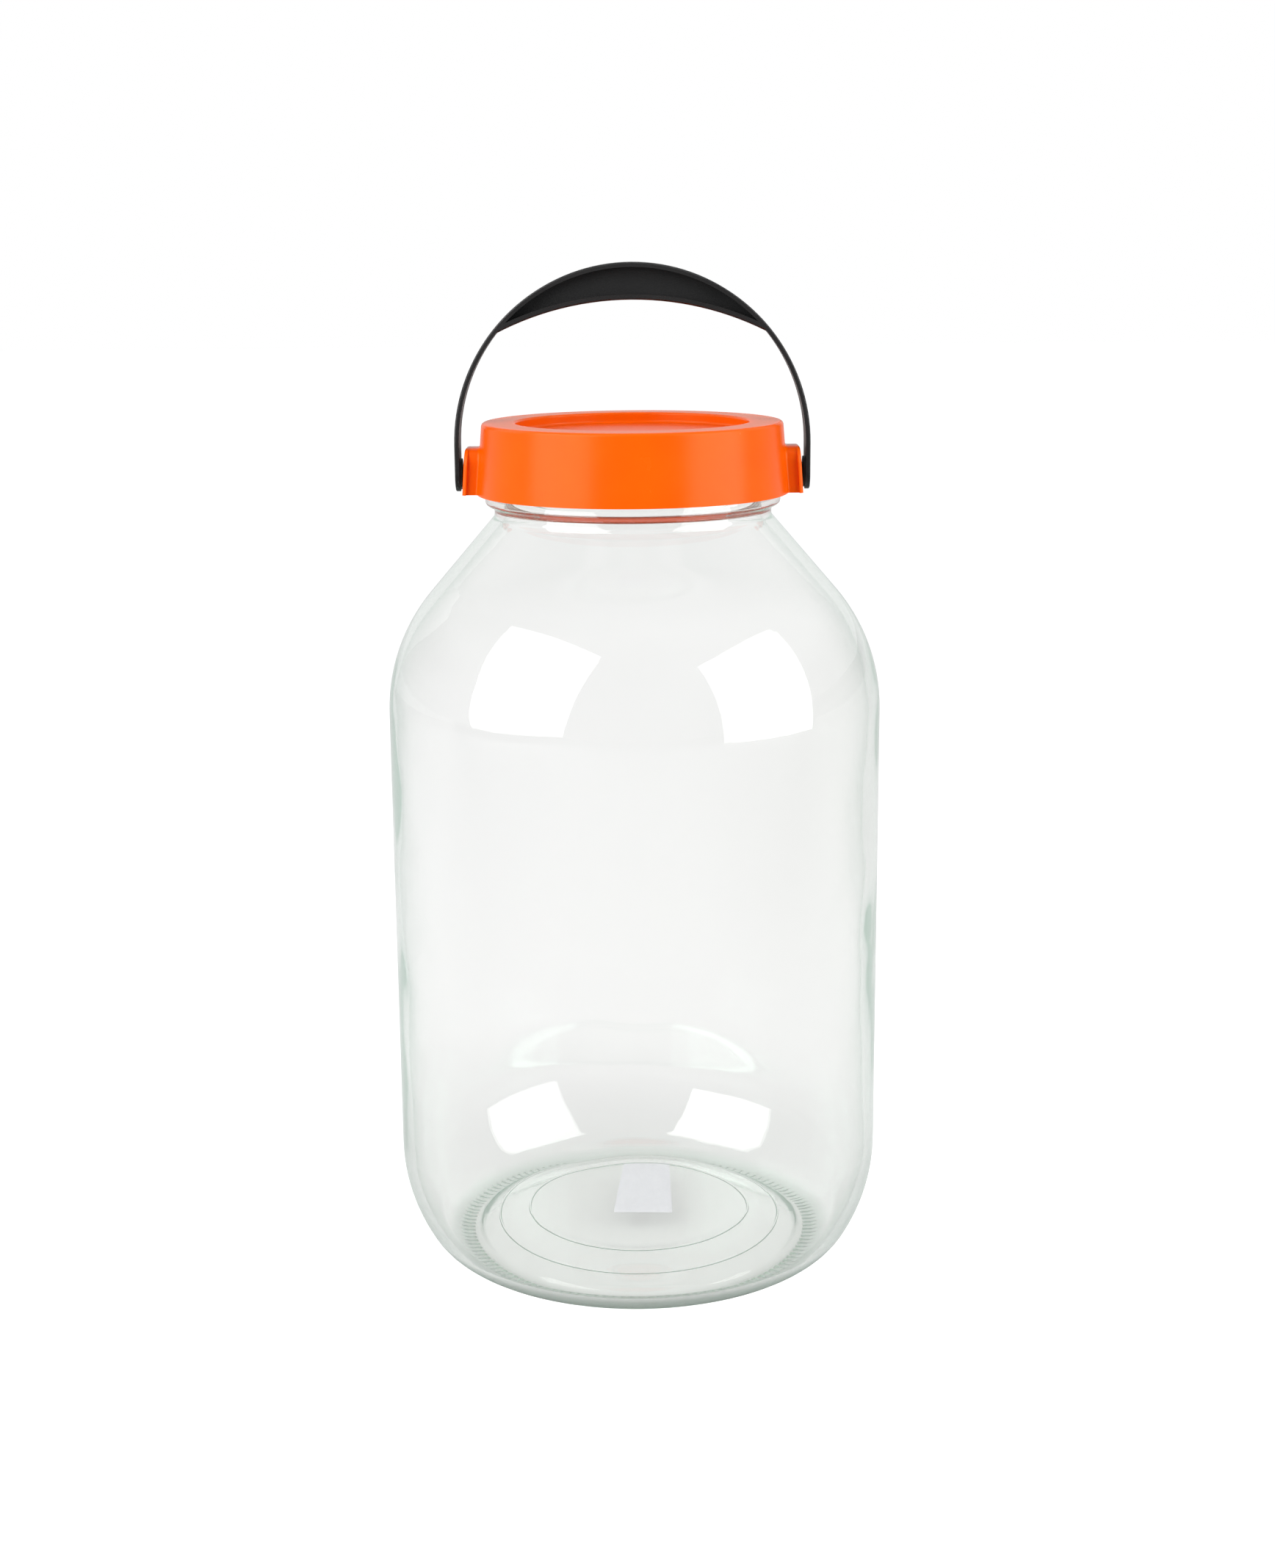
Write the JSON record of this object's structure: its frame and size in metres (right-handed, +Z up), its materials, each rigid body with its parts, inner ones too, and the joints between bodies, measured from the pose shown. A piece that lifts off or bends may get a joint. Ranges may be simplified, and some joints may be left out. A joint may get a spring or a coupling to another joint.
{
  "type": "storage jar",
  "caption": "Wide glass storage jar with a sloping shoulder, a flat screw lid with two side lugs, and an arched carry handle that swings on the lid.",
  "frame": {"origin": "centre of the bearing ring on the surface that the jar stands on", "axes": "+Z up along the jar's axis, X along the line through the lid's two lugs, the front of the picture faces -Y"},
  "size_m": [0.172, 0.172, 0.3518],
  "materials": {
    "glass": "clear, faint green at thick edges",
    "label_paper": "matt white coated paper, blank",
    "seal": "matt, soft, off-white",
    "lid_plastic": "satin moulded, saturated orange",
    "handle_plastic": "satin moulded, black"
  },
  "bodies": {
    "jar": {"glass_jar": "glass", "base_label": "label_paper"},
    "seal": {"sealing_ring": "seal"},
    "lid": {"screw_lid": "lid_plastic"},
    "handle": {"carry_handle": "handle_plastic"}
  },
  "joints": [
    {"name": "lid_lift", "type": "slide", "parent": "jar", "child": "seal", "axis": [0, 0, 1], "range_m": [0, 0.024]},
    {"name": "lid_turn", "type": "hinge", "parent": "seal", "child": "lid", "pos_m": [0, 0, 0.2855], "axis": [0, 0, 1], "range_deg": [0, 720]},
    {"name": "handle_swing", "type": "hinge", "parent": "lid", "child": "handle", "pos_m": [0, 0, 0.28096], "axis": [1, 0, 0], "range_deg": [-105, 105]}
  ],
  "couplings": [
    {"joint": "lid_lift", "follows": "lid_turn", "m_per_rad": 0.0019099}
  ]
}
